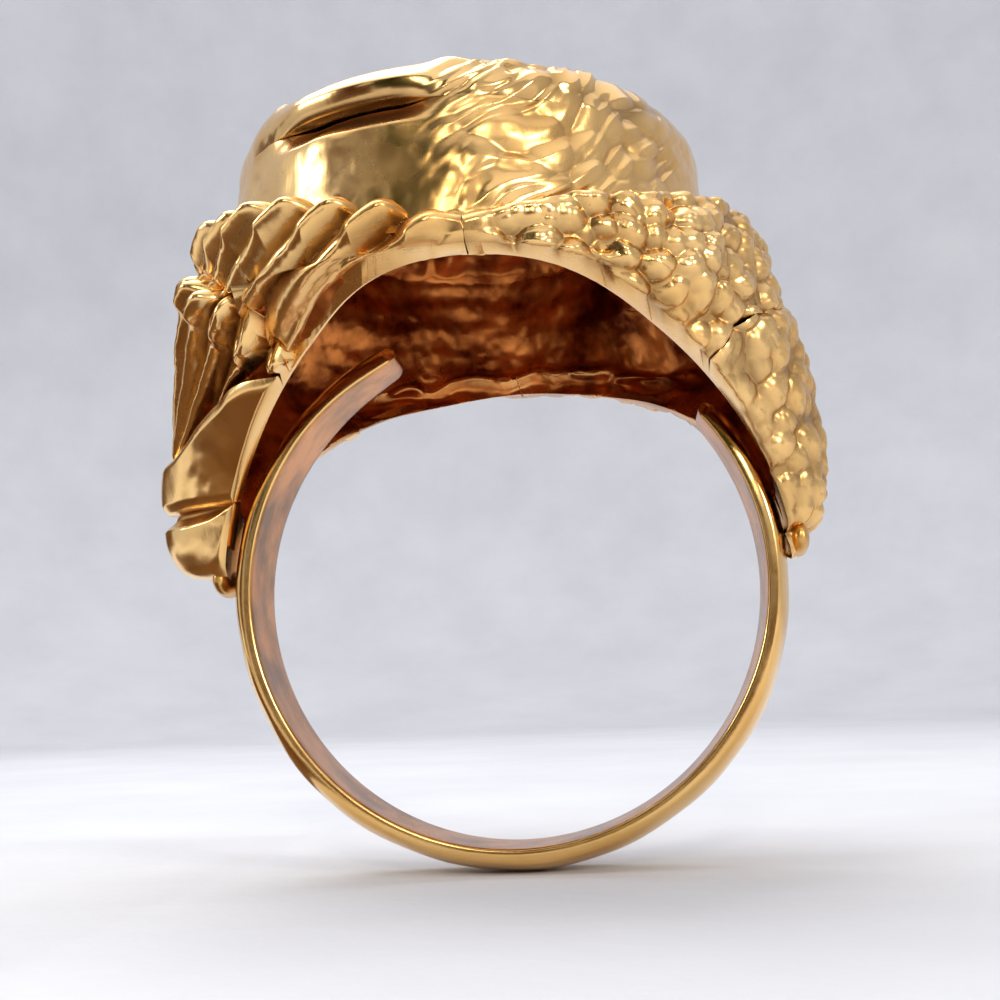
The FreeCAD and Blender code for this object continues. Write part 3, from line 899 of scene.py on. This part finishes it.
def gold(name, light, deep, crease_shade_colour, rough_low, rough_high, scratch=0.25, crease_dark=0.75,
         grain=0.15):
    """Worn gold: patchy tone, painted shade in the creases, painted red-brown shade and bounce
    tint inside, scratches and grain.
    """
    n = Nodes(name)
    shader = n.add("ShaderNodeBsdfPrincipled")
    shader.inputs["Metallic"].default_value = 1.0
    n.link(shader.outputs[0], n.out.inputs[0])
    patches = n.noise(230.0, 5.0)
    tone = n.ramp(patches, [(0.32, deep), (0.66, light)])
    # Painted shade: the crease attribute darkens creases, grooves and recesses towards a dark
    # colour, broken up by noise.
    crease = n.add("ShaderNodeAttribute", attribute_name="crease").outputs["Fac"]
    crease_shade_breakup = n.noise(900.0, 4.0)
    amount = n.math("MULTIPLY", crease, n.math("ADD", n.math("MULTIPLY", crease_shade_breakup, 0.6), 0.45))
    amount = n.math("MULTIPLY", amount, crease_dark)
    colour = n.mix(amount, tone, (*crease_shade_colour, 1))
    # Painted shade and bounce tint: the inside attribute turns the hollow's inner walls and the
    # band's inner face red-brown.
    inside = n.add("ShaderNodeAttribute", attribute_name="inside").outputs["Fac"]
    inner_shade_tint = n.ramp(n.noise(520.0, 5.0), [(0.36, (0.13, 0.022, 0.004)), (0.6, (0.66, 0.22, 0.05))])
    colour = n.mix(inside, colour, inner_shade_tint)
    n.link(colour, shader.inputs["Base Color"])
    smear = n.noise(420.0, 6.0, 0.65)
    rough = n.ramp(smear, [(0.3, grey(rough_low)), (0.72, grey(rough_high))])
    rough = n.math("ADD", rough, n.math("MULTIPLY", amount, 0.2))
    rough = n.math("ADD", rough, n.math("MULTIPLY", inside, 0.08))
    n.link(rough, shader.inputs["Roughness"])
    fine = n.noise(3200.0, 3.0, 0.6)
    lines = n.noise(1500.0, 2.0, 0.5, stretch=(1.0, 9.0, 1.0))
    height = n.math("ADD", n.math("MULTIPLY", fine, grain), n.math("MULTIPLY", lines, scratch))
    bump = n.add("ShaderNodeBump")
    bump.inputs["Strength"].default_value = 0.35
    bump.inputs["Distance"].default_value = 0.00004
    n.link(height, bump.inputs["Height"])
    n.link(bump.outputs[0], shader.inputs["Normal"])
    return n.mat


# The dark colour of each material is the painted shade for its creases.
MATERIALS = {
    "textured_gold": gold(
        "cast_gold", light=(0.96, 0.63, 0.26), deep=(0.82, 0.47, 0.15),
        crease_shade_colour=(0.13, 0.05, 0.012), rough_low=0.16, rough_high=0.3,
    ),
    "polished_gold": gold(
        "polished_gold", light=(0.96, 0.64, 0.27), deep=(0.84, 0.49, 0.17),
        crease_shade_colour=(0.06, 0.015, 0.01), rough_low=0.09, rough_high=0.2,
        scratch=0.15, crease_dark=0.95, grain=0.05,
    ),
    "band_gold": gold(
        "band_gold", light=(0.92, 0.60, 0.23), deep=(0.76, 0.44, 0.14),
        crease_shade_colour=(0.2, 0.1, 0.03), rough_low=0.12, rough_high=0.24,
        scratch=0.5, crease_dark=0.5, grain=0.08,
    ),
    "solder_gold": gold(
        "solder_gold", light=(0.80, 0.48, 0.15), deep=(0.62, 0.34, 0.10),
        crease_shade_colour=(0.2, 0.1, 0.03), rough_low=0.26, rough_high=0.4,
        scratch=0.1, crease_dark=0.5, grain=0.3,
    ),
}
SLOTS = {s["node"]: s["material_slot"] for s in frame["record"]["subparts"]}

for node, piece in pieces.items():
    piece.data.materials.append(MATERIALS[SLOTS[node]])
    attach(piece, "root")
    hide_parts(node)

# ------------------------------------------------------------------ stage


def paper_material():
    """Pale embossed paper."""
    n = Nodes("pale_paper")
    shader = n.add("ShaderNodeBsdfPrincipled")
    n.link(shader.outputs[0], n.out.inputs[0])
    tone = n.ramp(n.noise(60.0, 4.0), [(0.3, (0.58, 0.58, 0.60)), (0.7, (0.64, 0.64, 0.655))])
    n.link(tone, shader.inputs["Base Color"])
    shader.inputs["Roughness"].default_value = 0.8
    cells = n.add("ShaderNodeTexVoronoi")
    cells.inputs["Scale"].default_value = 210.0
    cells.inputs["Randomness"].default_value = 0.55
    n.link(n.add("ShaderNodeTexCoord").outputs["Object"], cells.inputs["Vector"])
    weave = n.math("ADD", cells.outputs["Distance"], n.math("MULTIPLY", n.noise(1100.0, 2.0), 0.5))
    bump = n.add("ShaderNodeBump")
    bump.inputs["Strength"].default_value = 0.3
    bump.inputs["Distance"].default_value = 0.00022
    n.link(weave, bump.inputs["Height"])
    n.link(bump.outputs[0], shader.inputs["Normal"])
    return n.mat


def build_bowl(segments=96):
    """Round floor that curves up into a wall on every side."""
    floor = -(BORE + BAND_CREST) - 0.03
    reach, bend, top = 300.0, 110.0, 300.0
    line = [(r, floor) for r in (20.0, 60.0, 110.0, 150.0, reach - bend)]
    for a in np.linspace(0, math.pi / 2, 24)[1:]:
        line.append((reach - bend + bend * math.sin(a), floor + bend * (1 - math.cos(a))))
    line.append((reach, top))
    turn = np.linspace(0, 2 * math.pi, segments, endpoint=False)
    rings = np.array([[(r * math.cos(a), r * math.sin(a), z) for a in turn] for r, z in line])
    verts = np.concatenate([rings.reshape(-1, 3), [[0, 0, floor]]])
    faces = [tuple(f) for f in grid_faces(len(line), segments, wrap=True)]
    faces += [((i + 1) % segments, i, len(verts) - 1) for i in range(segments)]
    obj = new_mesh("paper_bowl", verts, faces)
    obj.data.materials.append(paper_material())
    return obj


build_bowl()


def look_at(obj, target):
    """Turn a light or card towards a point."""
    direction = Vector(target) - obj.location
    obj.rotation_euler = direction.to_track_quat("-Z", "Y").to_euler()


def area(name, place, target, size, power, colour=(1, 1, 1), size_y=None):
    data = bpy.data.lights.new(name, "AREA")
    data.shape = "RECTANGLE"
    data.size = size * MM
    data.size_y = (size_y or size) * MM
    data.energy = power
    data.color = colour
    obj = bpy.data.objects.new(name, data)
    obj.location = Vector(place) * MM
    look_at(obj, Vector(target) * MM)
    bpy.context.scene.collection.objects.link(obj)
    return obj


area("window", (-50, 40, 170), (-10, 10, 5), 120, 0.22, size_y=160)
area("lamp_right", (130, -150, 70), (4, -6, 8), 50, 0.14, (1.0, 0.95, 0.86))
area("room_lamp", (10, -200, 90), (0, 0, 4), 26, 0.10, (1.0, 0.93, 0.8))
area("sky_left", (-190, -60, 90), (0, 0, 5), 70, 0.12, (0.9, 0.95, 1.0))


def card(name, place, target, size, size_y, deep, light):
    """Dark card round the ring, seen only in reflections."""
    x, y = size / 2, size_y / 2
    obj = new_mesh(name, [(-x, -y, 0), (x, -y, 0), (x, y, 0), (-x, y, 0)], [(0, 1, 2, 3)])
    n = Nodes(name)
    shader = n.add("ShaderNodeBsdfDiffuse")
    n.link(shader.outputs[0], n.out.inputs[0])
    tone = n.ramp(n.noise(40.0), [(0.35, deep), (0.7, light)])
    n.link(tone, shader.inputs["Color"])
    obj.data.materials.append(n.mat)
    obj.location = Vector(place) * MM
    look_at(obj, Vector(target) * MM)
    obj.visible_camera = False
    obj.visible_shadow = False
    obj.visible_diffuse = False
    return obj


BROWN = (0.06, 0.03, 0.015), (0.16, 0.09, 0.045)
GREEN = (0.004, 0.006, 0.002), (0.05, 0.06, 0.01)
MAROON = (0.02, 0.003, 0.003), (0.09, 0.012, 0.01)
card("brown_room", (0, -130, -16), (0, 0, 4), 120, 60, *BROWN)
card("brown_left", (-105, 50, 12), (-10, 0, 4), 70, 80, *BROWN)
card("brown_front_left", (-85, -80, 14), (-9, -4, 5), 62, 60, *BROWN)
# Stands in for the shade on the paper beside the ring, as painted shade seen in reflections.
card("low_left_shade_card", (-32, -8, -8.6), (-32, -8, 10), 44, 44, *BROWN)
card("green_card", (-13, -62, 36), (-2, -9, 11), 46, 56, *GREEN)
card("maroon_card", (-60, -48, 44), (-4, -9, 12), 26, 40, *MAROON)

world = bpy.data.worlds.new("soft_room")
bpy.context.scene.world = world
world.use_nodes = True
tree = world.node_tree
background = tree.nodes["Background"]
background.inputs["Color"].default_value = (0.92, 0.94, 1.0, 1)
background.inputs["Strength"].default_value = 1.25

# ------------------------------------------------------------------ camera

CAMERA_PLACE = (4.0, -44.0, -3.7)  # mm
YAW, PITCH, ROLL = -5.45, 8.47, -2.0  # degrees
LENS = 48.24

camera_data = bpy.data.cameras.new("camera")
camera_data.sensor_width = 36.0
camera_data.lens = LENS
camera_data.clip_start = 0.001
camera_data.clip_end = 10.0
camera = bpy.data.objects.new("camera", camera_data)
bpy.context.scene.collection.objects.link(camera)
yaw, pitch, roll = (math.radians(v) for v in (YAW, PITCH, ROLL))
level = math.cos(pitch)
forward = Vector((math.sin(yaw) * level, math.cos(yaw) * level, math.sin(pitch)))
right = Vector((math.cos(yaw), -math.sin(yaw), 0.0))
up = right.cross(forward)
across = right * math.cos(roll) + up * math.sin(roll)
upright = -right * math.sin(roll) + up * math.cos(roll)
turn = Matrix((across, upright, -forward)).transposed()
camera.matrix_world = Matrix.Translation(Vector(CAMERA_PLACE) * MM) @ turn.to_4x4()
bpy.context.scene.camera = camera
bpy.context.scene.view_settings.view_transform = "Standard"
